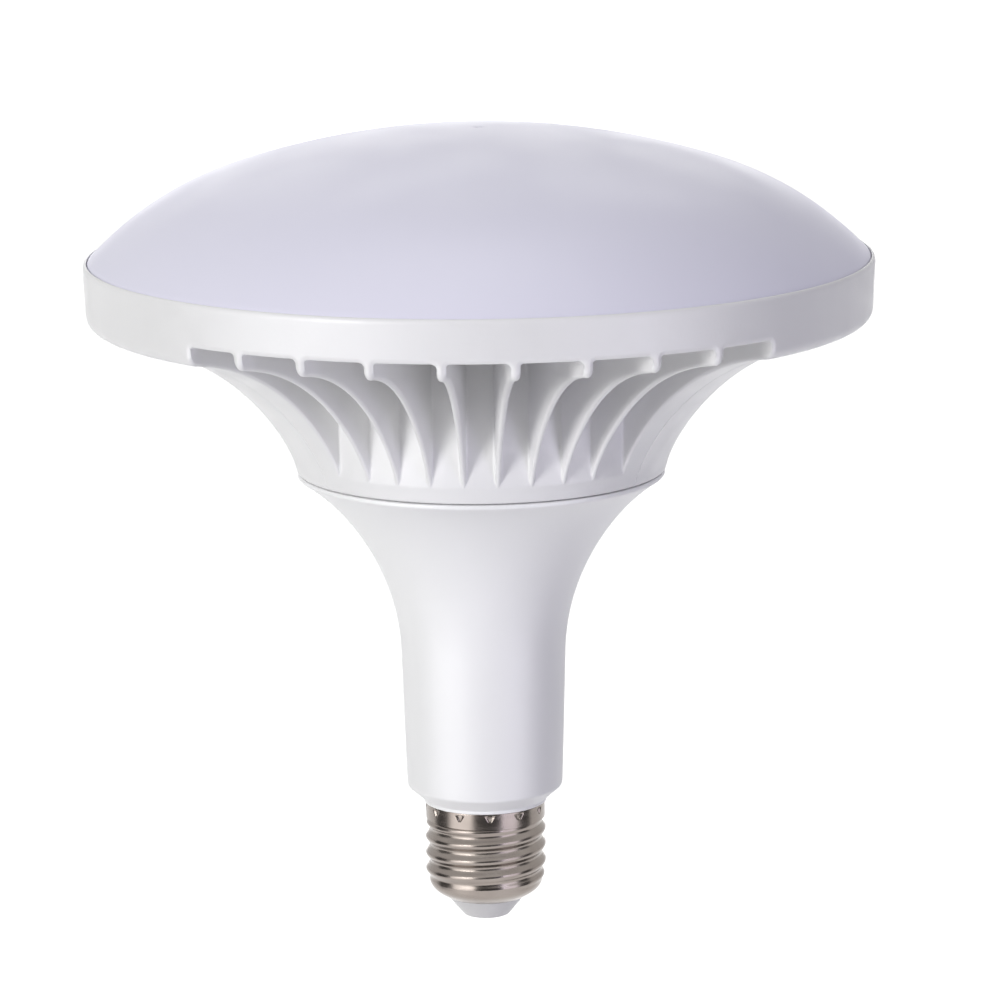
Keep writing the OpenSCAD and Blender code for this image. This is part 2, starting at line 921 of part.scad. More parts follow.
module transformer() {
  w = transformer_w;
  h = transformer_h;
  d = transformer_d;
  leg = 3;
  bobbin_r = 5.2;
  foot = 1.2;
  inset = 1;
  x = -w / 2;
  z = pcb_z + transformer_at;
  color("#57534f") {
    difference() {
      translate([x, pcb_front + foot, z])
        cube([w, h, d]);
      translate([x + leg, pcb_front + foot + leg, z - over])
        cube([w - 2 * leg, h - 2 * leg, d + 2 * over]);
    }
    translate([0, pcb_front + foot + leg - fit, z + d / 2])
      rotate([-90, 0, 0])
      cylinder(r = bobbin_r, h = h - 2 * leg + 2 * fit, $fn = 48);
    translate([x + inset, pcb_front, z + inset])
      cube([w - 2 * inset, foot + 0.1, d - 2 * inset]);
  }
}

// The three guide points with which a wire ends squarely on the circuit board
function joint(x, z) = [for (up = [2.6, 1.2, 0]) [x, pcb_front + up, z]];

module live_wire() {
  color("#8a4a2c")
  tube(smooth(concat([
    [0, 0, pin_top],
    [0, 0, pin_top + 1.5],
    [0, 0, pin_top + 5],
    [-2, 1, floor_z - 8],
    [-5, 1.5, floor_z - 1]
  ], joint(-5, pcb_z + 2.5))), wire_r);
}

module neutral_wire() {
  end_z = spigot_z - wire_r - 0.7;
  bend_r = spigot_in - wire_r - 0.8;
  color("#3f6fb5")
  tube(smooth(concat([
    [sleeve_r - 0.1, 0, end_z],
    [sleeve_r - 1, 0, end_z],
    [sleeve_r - 2, 0, end_z + 0.1],
    [bend_r, 0, spigot_z + 1.4],
    [bend_r - 1, 0.5, floor_z - 6],
    [5, 1.5, floor_z - 1]
  ], joint(5, pcb_z + 2.5))), wire_r);
}

module led_wire(side) {
  x = side * connector_hole_x;
  top = pcb_z + pcb_l;
  tube(smooth(concat(reversed(joint(side * 2.5, top - 3)), [
    [side * 2.3, 1, top + 3],
    [side * 1.2, 0, roof_z - 12],
    [side * 1.2, 0, roof_z - 1],
    [side * 1.2, 0, board_top_z - 1],
    [side * 1.3, 1.4, board_top_z + 1.3],
    [x, 5, connector_hole_z],
    [x, connector_y - 1, connector_hole_z]
  ]), 4), wire_r);
}

module led_wire_red() {
  color("#b33a34")
  led_wire(-1);
}

module led_wire_black() {
  color("#2b2b2e")
  led_wire(1);
}

diffuser();
heat_sink_body();
driver_housing();
cap_shell();
cap_insulator();
centre_contact();
led_board();
led_chips();
board_screws();
housing_screws();
wire_bush();
led_connector();
driver_board();
transformer();
input_capacitor();
output_capacitor();
film_capacitor();
choke();
fuse_resistor();
varistor();
bridge_rectifier();
driver_chip();
output_diode();
live_wire();
neutral_wire();
led_wire_red();
led_wire_black();
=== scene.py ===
import math

import bmesh
import bpy
from mathutils import Matrix, Vector


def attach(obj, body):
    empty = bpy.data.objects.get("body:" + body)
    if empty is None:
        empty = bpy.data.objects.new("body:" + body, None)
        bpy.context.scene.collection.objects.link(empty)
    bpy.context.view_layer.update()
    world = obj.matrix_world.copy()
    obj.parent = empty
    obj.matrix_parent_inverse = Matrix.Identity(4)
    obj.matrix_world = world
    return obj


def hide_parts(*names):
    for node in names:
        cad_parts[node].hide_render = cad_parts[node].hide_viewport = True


# A mushroom-shaped lamp with a screw cap, seen slightly from above. Profiles are in
# millimetres, as (radius, height) from the tip of the centre contact; meshes are in metres.

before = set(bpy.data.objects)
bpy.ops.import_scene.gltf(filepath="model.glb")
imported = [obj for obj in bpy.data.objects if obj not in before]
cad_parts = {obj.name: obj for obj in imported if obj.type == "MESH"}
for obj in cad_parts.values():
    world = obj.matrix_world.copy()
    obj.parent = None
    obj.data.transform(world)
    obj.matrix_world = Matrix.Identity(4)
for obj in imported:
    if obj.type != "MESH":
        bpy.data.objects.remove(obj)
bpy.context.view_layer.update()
scene = bpy.context.scene

MM = 0.001
FULL_TURN = 2 * math.pi

# Heights and radii that the lamp's pieces share
SHELL_Z = 5.0
THREAD_Z = 8.6
COLLAR_Z = 22.5
SHELL_TOP = 26.3
LIP_Z = 26.35
NECK_Z = 30.45
FLARE_Z = 60.15
HOUSING_TOP = 100.05
HEAD_Z = 100.35
CORNER_Z = 135.85
ROOF_Z = 137.65
PLATE_Z = 140.25
LEDGE_Z = 145.55
RIM_Z = 146.65
RIM_R = 84.4


# Profiles

def arc(centre, radius, start, end, steps):
    """Points of an arc in the (radius, height) plane; angles in degrees."""
    points = []
    for i in range(steps + 1):
        a = math.radians(start + (end - start) * i / steps)
        points.append((centre[0] + radius * math.cos(a), centre[1] + radius * math.sin(a)))
    return points


def curve(a, b, c, d, steps):
    """Points of a cubic curve with two handles."""
    points = []
    for i in range(steps + 1):
        t = i / steps
        s = 1 - t
        w = (s * s * s, 3 * s * s * t, 3 * s * t * t, t * t * t)
        points.append(tuple(sum(k * p[n] for k, p in zip(w, (a, b, c, d))) for n in (0, 1)))
    return points


def rounded(corners, steps=5):
    """An open line through corners given as (radius, height, fillet radius)."""
    points = [corners[0][:2]]
    for before, corner, after in zip(corners, corners[1:], corners[2:]):
        here = Vector(corner[:2])
        u = Vector(before[:2]) - here
        v = Vector(after[:2]) - here
        half = u.angle(v) / 2
        if corner[2] == 0 or half > math.radians(89.5):
            points.append(tuple(here))
            continue
        u.normalize()
        v.normalize()
        reach = corner[2] / math.tan(half)
        middle = here + (u + v).normalized() * corner[2] / math.sin(half)
        start = here + u * reach - middle
        end = here + v * reach - middle
        sweep = start.angle_signed(end)
        for i in range(steps + 1):
            p = start.copy()
            p.rotate(Matrix.Rotation(-sweep * i / steps, 2))
            points.append(tuple(middle + p))
    points.append(corners[-1][:2])
    return points


# Mesh helpers

def turned(line, steps=256):
    """A body turned about Z from a closed line of (radius, height) points."""
    bm = bmesh.new()
    verts = [bm.verts.new((r * MM, 0, z * MM)) for r, z in line]
    edges = [bm.edges.new((a, b)) for a, b in zip(verts, verts[1:])]
    if line[0][0] > 0 or line[-1][0] > 0:
        edges.append(bm.edges.new((verts[-1], verts[0])))
    bmesh.ops.spin(bm, geom=verts + edges, cent=(0, 0, 0), axis=(0, 0, 1),
                   angle=FULL_TURN, steps=steps, use_merge=True)
    bmesh.ops.remove_doubles(bm, verts=bm.verts, dist=1e-7)
    bmesh.ops.recalc_face_normals(bm, faces=bm.faces)
    return bm


def piece(bm, name, material, nodes, sharp=35):
    """Turns a bmesh into a piece that rides on the lamp and stands for its CAD nodes."""
    mesh = bpy.data.meshes.new(name)
    for face in bm.faces:
        face.smooth = True
    limit = math.radians(sharp)
    for edge in bm.edges:
        if len(edge.link_faces) == 2 and edge.calc_face_angle(0) > limit:
            edge.smooth = False
    bm.to_mesh(mesh)
    bm.free()
    obj = bpy.data.objects.new(name, mesh)
    scene.collection.objects.link(obj)
    mesh.materials.append(material)
    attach(obj, "root")
    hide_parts(*nodes)
    return obj


# Materials

class Finish:
    """A material in the making: one Principled shader and the nodes that feed it."""

    def __init__(self, name, colour, roughness, metallic=0.0, **inputs):
        self.material = bpy.data.materials.new(name)
        self.material.use_nodes = True
        self.nodes = self.material.node_tree.nodes
        self.links = self.material.node_tree.links
        self.shader = self.nodes["Principled BSDF"]
        self.shader.inputs["Base Color"].default_value = (*colour, 1)
        self.shader.inputs["Roughness"].default_value = roughness
        self.shader.inputs["Metallic"].default_value = metallic
        for key, value in inputs.items():
            self.shader.inputs[key.replace("_", " ")].default_value = value
        self.place = self.nodes.new("ShaderNodeTexCoord").outputs["Object"]

    def add(self, kind, **inputs):
        node = self.nodes.new(kind)
        for key, value in inputs.items():
            node.inputs[key.replace("_", " ")].default_value = value
        return node

    def stretched(self, scale):
        """Object coordinates, stretched along the axes."""
        mapping = self.add("ShaderNodeMapping", Scale=scale)
        self.links.new(self.place, mapping.inputs["Vector"])
        return mapping.outputs["Vector"]

    def noise(self, scale, detail=2.0, place=None):
        node = self.add("ShaderNodeTexNoise", Scale=scale, Detail=detail)
        self.links.new(place or self.place, node.inputs["Vector"])
        return node.outputs["Fac"]

    def span(self, value, low, high, start=0.35, end=0.65):
        """The value's range from start to end, mapped to low and high."""
        node = self.add("ShaderNodeMapRange", From_Min=start, From_Max=end,
                        To_Min=low, To_Max=high)
        self.links.new(value, node.inputs["Value"])
        return node.outputs["Result"]

    def tint(self, value, first, second):
        """The base colour, mixed by a value."""
        node = self.add("ShaderNodeMix")
        node.data_type = "RGBA"
        node.inputs[6].default_value = (*first, 1)
        node.inputs[7].default_value = (*second, 1)
        self.links.new(value, node.inputs[0])
        self.links.new(node.outputs[2], self.shader.inputs["Base Color"])
        return node

    def rough(self, value, low, high):
        self.links.new(self.span(value, low, high), self.shader.inputs["Roughness"])

    def bump(self, height, distance, strength=1.0):
        node = self.add("ShaderNodeBump", Strength=strength, Distance=distance)
        self.links.new(height, node.inputs["Height"])
        self.links.new(node.outputs["Normal"], self.shader.inputs["Normal"])


def milky_plastic():
    f = Finish("milky_diffuser", (0.80, 0.79, 0.915), 0.42, IOR=1.49)
    f.tint(f.span(f.noise(14, 1.5), 0.0, 1.0), (0.79, 0.782, 0.908), (0.81, 0.80, 0.922))
    f.rough(f.noise(60, 3), 0.38, 0.46)
    f.bump(f.noise(1500, 2), 0.000012)
    return f.material


def cast_paint():
    f = Finish("white_powder_paint", (0.85, 0.848, 0.852), 0.42, IOR=1.5)
    f.tint(f.span(f.noise(35, 3), 0.0, 1.0), (0.844, 0.842, 0.846), (0.856, 0.854, 0.858))
    f.rough(f.noise(220, 2), 0.36, 0.48)
    f.bump(f.noise(1100, 3), 0.00003)
    return f.material


def neck_plastic():
    f = Finish("white_neck_plastic", (0.93, 0.93, 0.935), 0.45, IOR=1.5)
    f.tint(f.span(f.noise(30, 2), 0.0, 1.0), (0.927, 0.927, 0.932), (0.933, 0.933, 0.938))
    f.rough(f.noise(160, 2), 0.43, 0.48)
    f.bump(f.noise(900, 2), 0.000004)
    return f.material


def nickel():
    f = Finish("nickel_plate", (0.265, 0.233, 0.211), 0.24, metallic=1.0)
    drawn = f.stretched((60, 60, 900))
    f.tint(f.span(f.noise(3, 3, f.stretched((40, 40, 40))), 0.0, 1.0),
           (0.245, 0.213, 0.193), (0.285, 0.252, 0.228))
    f.rough(f.noise(1, 3, drawn), 0.2, 0.28)
    f.bump(f.noise(1, 2, drawn), 0.00001)
    return f.material


def plain_plastic(name, colour, roughness=0.4):
    f = Finish(name, colour, roughness, IOR=1.5)
    dark = tuple(c * 0.94 for c in colour)
    f.tint(f.span(f.noise(90, 3), 0.0, 1.0), dark, colour)
    f.rough(f.noise(240, 2), roughness - 0.05, roughness + 0.06)
    f.bump(f.noise(700, 2), 0.00002)
    return f.material


def plain_metal(name, colour, roughness=0.3):
    f = Finish(name, colour, roughness, metallic=1.0)
    dark = tuple(c * 0.88 for c in colour)
    f.tint(f.span(f.noise(400, 3), 0.0, 1.0), dark, colour)
    f.rough(f.noise(900, 2), roughness - 0.06, roughness + 0.08)
    f.bump(f.noise(1600, 2), 0.00001)
    return f.material


# The finned head

# Fins in a group, one group in front and one behind, and the angle between two fins
FIN_COUNT = 10
PITCH = 10
HALF_PITCH = PITCH / 2
GROUP_HALF = (FIN_COUNT - 1) / 2 * PITCH

# Half a fin's thickness at its tip and at the roof, and its softened edge in the notches
TIP_Z = 103.75
TIP_HALF = 0.55
ROOF_HALF = 1.0
EDGE = 0.4

# Degrees by which the end fins stand further out than their pitch, at the hub and the rim,
# and the angles between which that bend grows and fades
LEFT_END = (1.9, -0.5)
RIGHT_END = (2.3, 0.5)
BEND_GROWS = (40, 43)
BEND_FADES = (47, 54)

# The hub between the fins and the rounded corner where it meets the roof
HUB_R = 40.8
HUB_DRAFT = math.tan(math.radians(1.5))
ROOT_R = 2.5

# The channel's floor leaves the hub in a fan between this height and this radius
FAN_LOW = 124.0
FAN_R = 68.0
FAN_FIRST = 0.03

# Fillets at a fin's root: on the roof to its left and right, and on the hub
LEFT_FILLET = 1.15
RIGHT_FILLET = 0.6
HUB_FILLET = 0.45

# Rounded corner below the rim, of the smooth sides and of the fins, and the curve's tilt
# where it meets that corner
CORNER_R = 2.6
FIN_CORNER_R = 1.95
TOP_TILT = 8.1

# The height from which a fin's own curve leaves that of the smooth sides, and how slowly
OWN_LOW = 106
OWN_SPAN = 16

# The skirt below the fins, with its rounded lower edge
SKIRT_R = 39.85
SKIRT_EDGE = 0.6
SKIRT_FOOT = (SKIRT_R - SKIRT_EDGE, HEAD_Z)
SKIRT_START = HEAD_Z + 0.9

# The rim, which has draft below the height where its lip starts, and what it holds
RIM_DRAFT = 0.4
RIM_UPRIGHT = RIM_Z - 0.7
BAND_Z = 139.6
BAND_SHARES = (0.3, 0.65, 1.0)
LIP_R = 83.6
DISH_R = 82.3
WIRE_HOLE_R = 5.0
BORE_R = 37.4

# The mould's parting lines on the smooth sides: angle from the front, height, half width
PARTING = 54.4
PARTING_UP = 0.1
PARTING_HALF = 0.35

NOSE_STEPS = 5
SIDE_STEPS = 5
FILLET_STEPS = 5
FLOOR_STEPS = 5


def fin_half(z):
    """Half thickness of a fin, which has draft, at height z."""
    share = max((z - TIP_Z) / (ROOF_Z - TIP_Z), 0)
    return TIP_HALF + (ROOF_HALF - TIP_HALF) * share ** 1.5


def corner_at(radius):
    """Where the centre of the rounded corner below the rim stands."""
    return RIM_R - RIM_DRAFT - radius


def trumpet(radius=CORNER_R):
    """The head's outer curve up to its rounded corner, as (point, inward normal)."""
    tilt = math.radians(TOP_TILT)
    reach = 29.3
    end = (corner_at(radius) + radius * math.sin(tilt), CORNER_Z - radius * math.cos(tilt))
    handle = (end[0] - reach * math.cos(tilt), end[1] - reach * math.sin(tilt))
    start = (SKIRT_R, HEAD_Z)
    line = curve(start, (SKIRT_R + 0.25, HEAD_Z + 5.5), handle, end, 60)
    out = []
    for i, p in enumerate(line):
        a = Vector(line[max(i - 1, 0)])
        b = Vector(line[min(i + 1, len(line) - 1)])
        ahead = (b - a).normalized()
        out.append((Vector(p), Vector((-ahead.y, ahead.x))))
    return out


def corner(radius=CORNER_R):
    """The rounded corner below the rim, up to where the rim stands upright."""
    centre = (corner_at(radius), CORNER_Z)
    out = []
    for p in arc(centre, radius, TOP_TILT - 90, 0, 14)[1:]:
        out.append((Vector(p), (Vector(centre) - Vector(p)).normalized()))
    return out


def hub_at(z):
    return HUB_R + (z - TIP_Z) * HUB_DRAFT


def floor_line():
    """The floor's path in the fan between the hub and the roof, round the root corner."""
    root = hub_at(ROOF_Z)
    line = [(hub_at(FAN_LOW), FAN_LOW)]
    line += arc((root + ROOT_R, ROOF_Z - ROOT_R), ROOT_R, 180, 90, 5)
    line.append((FAN_R, ROOF_Z))
    return [Vector(p) for p in line]


def along(line, t):
    """The point at share t of a line's length."""
    lengths = [(b - a).length for a, b in zip(line, line[1:])]
    left = t * sum(lengths)
    for a, b, length in zip(line, line[1:], lengths):
        if left <= length:
            return a.lerp(b, left / length)
        left -= length
    return line[-1].copy()


def stations(radius):
    """The rows of a channel: the nose's point and normal, the floor's point and the radius
    of the fin's rounded edge. A fin's own curve leaves that of the smooth sides slowly."""
    rows = []
    clear = 0.03
    pairs = [s for s in zip(trumpet(), trumpet(radius)) if s[0][0].x > hub_at(s[0][0].y) + clear]
    fan = [s[0][0] for s in pairs if s[0][0].y > FAN_LOW and s[0][0].x < FAN_R]
    fan_start = fan[0].x
    path = floor_line()
    for (p, n), (own, own_n) in pairs:
        blend = min(max((p.y - OWN_LOW) / OWN_SPAN, 0), 1)
        if p.y <= FAN_LOW:
            foot = Vector((hub_at(p.y), p.y))
        elif p.x < FAN_R:
            share = (p.x - fan_start) / (FAN_R - fan_start)
            foot = along(path, FAN_FIRST + (1 - FAN_FIRST) * share)
        else:
            foot = Vector((p.x, ROOF_Z))
        nose = p.lerp(own, blend)
        rows.append((nose, n.lerp(own_n, blend).normalized(), foot, fin_half(nose.y)))
    turning = corner(radius)
    last = corner_at(0) - EDGE
    for i, ((p, n), (own, own_n)) in enumerate(zip(corner(), turning)):
        share = (i + 1) / len(turning)
        foot = Vector((min(p.x, last), ROOF_Z))
        soft = fin_half(CORNER_Z) * (1 - share) + EDGE * share
        rows.append((own, own_n, foot, soft))
    return rows


def fillet_at(foot, roof_fillet):
    """The fillet at a fin's root is smaller on the hub than on the roof."""
    share = min(max((foot.y - TIP_Z) / (ROOF_Z - TIP_Z), 0), 1)
    return HUB_FILLET + (roof_fillet - HUB_FILLET) * share * share


def cross_section(nose, normal, foot, soft, roof_fillet):
    """Half a fin and half the floor beside it, as (offset from the fin's middle plane,
    radius, height), from the nose's middle line to the channel's middle."""
    t = fin_half(nose.y)
    f = fillet_at(foot, roof_fillet)
    gap = nose - foot
    h = max(gap.length, 0.1)
    up = gap.normalized()
    spread = min(h / (soft + f), 1)
    inward = (-up).lerp(normal, spread * spread).normalized()
    if h < soft + f:
        reach = math.sqrt(2 * (soft + f) * h - h * h)
        turn = math.asin(min(reach / (soft + f), 1))
    else:
        reach = t + f
        turn = math.pi / 2
    path = []
    for k in range(NOSE_STEPS + 1):
        a = turn * k / NOSE_STEPS
        d = (t - soft) * math.sin(a) * (k / NOSE_STEPS) + soft * math.sin(a)
        path.append((d, nose + inward * soft * (1 - math.cos(a))))
    shoulder = path[-1]
    fillet = []
    for k in range(FILLET_STEPS + 1):
        a = turn * (1 - k / FILLET_STEPS)
        fillet.append((reach - f * math.sin(a), foot + up * f * (1 - math.cos(a))))
    for k in range(1, SIDE_STEPS):
        share = k / SIDE_STEPS
        path.append((shoulder[0] + (fillet[0][0] - shoulder[0]) * share,
                     shoulder[1].lerp(fillet[0][1], share)))
    path += fillet
    half = math.radians(HALF_PITCH)
    start = math.asin(reach / foot.x)
    for k in range(1, FLOOR_STEPS + 1):
        a = start + (half - start) * k / FLOOR_STEPS
        path.append((foot.x * math.sin(a), foot.copy()))
    return [(d, p.x, p.y) for d, p in path]


def rim_at(z):
    """Radius of the rim, which has draft, at height z."""
    return RIM_R - RIM_DRAFT * (RIM_UPRIGHT - z) / (RIM_UPRIGHT - CORNER_Z)


def notch_rows(f):
    """The notch's soft edge, from the channel out to the rim's surface, as rows of
    (offset, radius, height) from the fin's side to the middle of the notch's roof. The rows
    shift so that both sides of a fin meet in the same points on its middle plane."""
    t = fin_half(CORNER_Z)
    centre = (t + f, ROOF_Z - f)
    half = math.radians(HALF_PITCH)
    rows = []
    for k in range(NOSE_STEPS, -1, -1):
        a = math.pi / 2 * k / NOSE_STEPS
        d0 = (t - EDGE) * math.sin(a) * (k / NOSE_STEPS) + EDGE * math.sin(a)
        depth = EDGE * (1 - math.cos(a))
        grow = t - d0
        bend_z = ROOF_Z - LEFT_FILLET + (LEFT_FILLET - f) * k / NOSE_STEPS
        row = []
        for i in range(SIDE_STEPS):
            z = CORNER_Z + (bend_z - CORNER_Z) * i / SIDE_STEPS
            row.append((d0, rim_at(z) - depth, z))
        for i in range(FILLET_STEPS + 1):
            b = math.pi / 2 * i / FILLET_STEPS
            z = max(centre[1] + (f + grow) * math.sin(b), bend_z) if i else bend_z
            row.append((centre[0] - (f + grow) * math.cos(b), rim_at(z) - depth, z))
        z = ROOF_Z + grow
        r = rim_at(z) - depth
        start = math.asin(centre[0] / r)
        for i in range(1, FLOOR_STEPS + 1):
            b = start + (half - start) * i / FLOOR_STEPS
            row.append((r * math.sin(b), r, z))
        rows.append(row)
    return rows


def inner_line():
    """The rest of the head's outline: the rim, its lip, the ledge and dish, the plate with
    its wire hole, the hub's bore and the skirt's lower edge."""
    line = [(rim_at(z), z) for z in (141.0, 143.0, 144.6)]
    lip_wide, lip_high = 0.64, 1.2
    for i in range(7):
        a = math.radians(15 * i)
        line.append((RIM_R - lip_wide * (1 - math.cos(a)), RIM_Z - lip_high * (1 - math.sin(a))))
    line += [(LIP_R + 0.07, RIM_Z - 0.03), (LIP_R, RIM_Z - 0.18), (LIP_R, LEDGE_Z)]
    line += [(DISH_R, LEDGE_Z), (DISH_R, PLATE_Z), (60, PLATE_Z), (30, PLATE_Z)]
    line += [(WIRE_HOLE_R, PLATE_Z), (WIRE_HOLE_R, ROOF_Z), (20, ROOF_Z)]
    line += [(BORE_R, ROOF_Z), (BORE_R, 120), (BORE_R, HEAD_Z)]
    return line


def skirt_rows(first):
    """Rows of the skirt below the fins' tips, from its lower edge up."""
    low = arc((SKIRT_R - SKIRT_EDGE, HEAD_Z + SKIRT_EDGE), SKIRT_EDGE, -90, 0, 4)
    return low + [tuple(p) for p, n in trumpet() if SKIRT_START < p.y < first.y - 0.5]


def grid(bm, rows):
    """Faces between rows of points; points that coincide are merged later."""
    made = [[bm.verts.new(p) for p in row] for row in rows]
    for low, high in zip(made, made[1:]):
        for i in range(len(low) - 1):
            bm.faces.new((low[i], low[i + 1], high[i + 1], high[i]))


def placed(row):
    """Points of a half tile, whose fin stands along X, in metres."""
    out = []
    for d, r, z in row:
        a = math.asin(max(min(d / r, 1), -1))
        out.append((r * math.cos(a) * MM, r * math.sin(a) * MM, z * MM))
    return out


def even_row(r, z, count):
    """A row on a surface of revolution from a fin's middle to the channel's middle."""
    half = math.radians(HALF_PITCH)
    return [(r * math.sin(half * i / count), r, z) for i in range(count + 1)]


def half_tile(bm, radius, roof_fillet):
    """Half a fin and half a channel, with the skirt, rim and inside that belong to it."""
    count = FILLET_STEPS + FLOOR_STEPS
    folded = NOSE_STEPS + SIDE_STEPS
    rows = stations(radius)
    skirt = []
    for r, z in skirt_rows(rows[0][0]):
        even = even_row(r, z, count)
        skirt.append([even[0]] * folded + even)
    channel = [cross_section(*s, roof_fillet) for s in rows]
    notch = notch_rows(roof_fillet)
    channel.append(channel[-1][:NOSE_STEPS] + notch[0])
    grid(bm, [placed(r) for r in skirt + channel])
    grid(bm, [placed(r) for r in notch])
    top = notch[-1][SIDE_STEPS:]
    angles = [math.asin(d / r) for d, r, z in top]
    upper = [top]
    for share in BAND_SHARES:
        row = []
        for a, (d, r, z) in zip(angles, top):
            height = z + (BAND_Z - z) * share
            row.append((rim_at(height) * math.sin(a), rim_at(height), height))
        upper.append(row)
    for r, z in inner_line() + [SKIRT_FOOT]:
        upper.append([(r * math.sin(a), r, z) for a in angles])
    upper[-1] = skirt[0][folded:]
    grid(bm, [placed(r) for r in upper])
    return rows, notch


def middle_line(rows, notch):
    """The head's closed outline on a fin's middle plane, for the smooth sides."""
    line = [tuple(p) for p in skirt_rows(rows[0][0])]
    line += [(s[0].x, s[0].y) for s in rows]
    line += [(r, z) for d, r, z in notch[-1][1:SIDE_STEPS + 1]]
    low = line[-1][1]
    for share in BAND_SHARES:
        z = low + (BAND_Z - low) * share
        line.append((rim_at(z), z))
    return line + inner_line() + [SKIRT_FOOT]


def fin_tiles(bm, radius, turns):
    """Fins with half a channel on each side, in a group that faces the front."""
    start = bmesh.new()
    half_tile(start, radius, LEFT_FILLET)
    bmesh.ops.scale(start, verts=start.verts, vec=(1, -1, 1))
    made = half_tile(start, radius, RIGHT_FILLET)
    bmesh.ops.rotate(start, verts=start.verts, cent=(0, 0, 0),
                     matrix=Matrix.Rotation(-math.pi / 2, 3, "Z"))
    tile = bpy.data.meshes.new("fin_tile")
    start.to_mesh(tile)
    start.free()
    for turn in turns:
        count = len(bm.verts)
        bm.from_mesh(tile)
        bm.verts.ensure_lookup_table()
        bmesh.ops.rotate(bm, verts=bm.verts[count:], cent=(0, 0, 0),
                         matrix=Matrix.Rotation(math.radians(turn), 3, "Z"))
    bpy.data.meshes.remove(tile)
    return made


def parting_lines(bm):
    """The fine raised lines that the mould leaves on the smooth sides."""
    side_slope = 0.55
    for turn in (PARTING, -PARTING):
        for off in (-PARTING_HALF, 0, PARTING_HALF):
            a = math.radians(turn + off)
            near = [f for f in bm.faces
                    if abs(f.calc_center_median().x) > side_slope * abs(f.calc_center_median().y)]
            edges = {e for f in near for e in f.edges}
            verts = {v for f in near for v in f.verts}
            bmesh.ops.bisect_plane(bm, geom=list(verts) + list(edges) + near, dist=1e-8,
                                   plane_co=(0, 0, 0), plane_no=(math.cos(a), math.sin(a), 0))
    for v in bm.verts:
        z = v.co.z / MM
        r = v.co.xy.length / MM
        turn = abs(math.degrees(math.atan2(v.co.x, -v.co.y)))
        on_line = min(abs(turn - PARTING), abs(180 - turn - PARTING)) < 0.01
        if on_line and r > BORE_R + 0.6 and SKIRT_START < z < CORNER_Z - 1.5:
            v.co.xy *= 1 + PARTING_UP / r


def bend_end_fins(bm):
    """The end fins are not quite radial: they turn about the axis, by an amount that
    changes from the hub to the rim and fades out on both sides of a fin."""
    for v in bm.verts:
        turn = abs(math.degrees(math.atan2(v.co.x, -v.co.y)))
        away = min(turn, 180 - turn)
        grows = (away - BEND_GROWS[0]) / (BEND_GROWS[1] - BEND_GROWS[0])
        fades = (BEND_FADES[1] - away) / (BEND_FADES[1] - BEND_FADES[0])
        amount = max(0, min(1, grows, fades))
        share = (v.co.xy.length / MM - HUB_R) / (RIM_R - HUB_R)
        share = max(0, min(1, share))
        right = v.co.x * v.co.y < 0
        hub, rim = RIGHT_END if right else LEFT_END
        shift = math.radians(hub + (rim - hub) * share) * amount
        v.co.rotate(Matrix.Rotation(shift if right else -shift, 3, "Z"))


def finned_head(material):
    bm = bmesh.new()
    fin_tiles(bm, FIN_CORNER_R, [i * PITCH - GROUP_HALF for i in range(1, FIN_COUNT - 1)])
    rows, notch = fin_tiles(bm, CORNER_R, (-GROUP_HALF, GROUP_HALF))
    # The outer halves of the end fins are part of the smooth sides
    limit = math.radians(GROUP_HALF)
    outer = []
    for face in bm.faces:
        c = face.calc_center_median()
        if abs(math.atan2(c.x, -c.y)) > limit:
            outer.append(face)
    bmesh.ops.delete(bm, geom=outer, context="FACES")
    group = bm.verts[:] + bm.edges[:] + bm.faces[:]
    back = bmesh.ops.duplicate(bm, geom=group)["geom"]
    bmesh.ops.rotate(bm, verts=[v for v in back if isinstance(v, bmesh.types.BMVert)],
                     cent=(0, 0, 0), matrix=Matrix.Rotation(math.pi, 3, "Z"))
    line = middle_line(rows, notch)
    for side in (0, 1):
        start = math.radians(-90 + GROUP_HALF + 180 * side)
        verts = [bm.verts.new((r * math.cos(start) * MM, r * math.sin(start) * MM, z * MM))
                 for r, z in line]
        edges = [bm.edges.new((a, b)) for a, b in zip(verts, verts[1:] + verts[:1])]
        bmesh.ops.spin(bm, geom=verts + edges, cent=(0, 0, 0), axis=(0, 0, 1),
                       angle=math.pi - 2 * math.radians(GROUP_HALF), steps=48)
    bmesh.ops.remove_doubles(bm, verts=bm.verts, dist=2e-6)
    parting_lines(bm)
    bend_end_fins(bm)
    bmesh.ops.recalc_face_normals(bm, faces=bm.faces)
    return piece(bm, "finned_head", material, ["heat_sink_body"], 40)


# Turned pieces

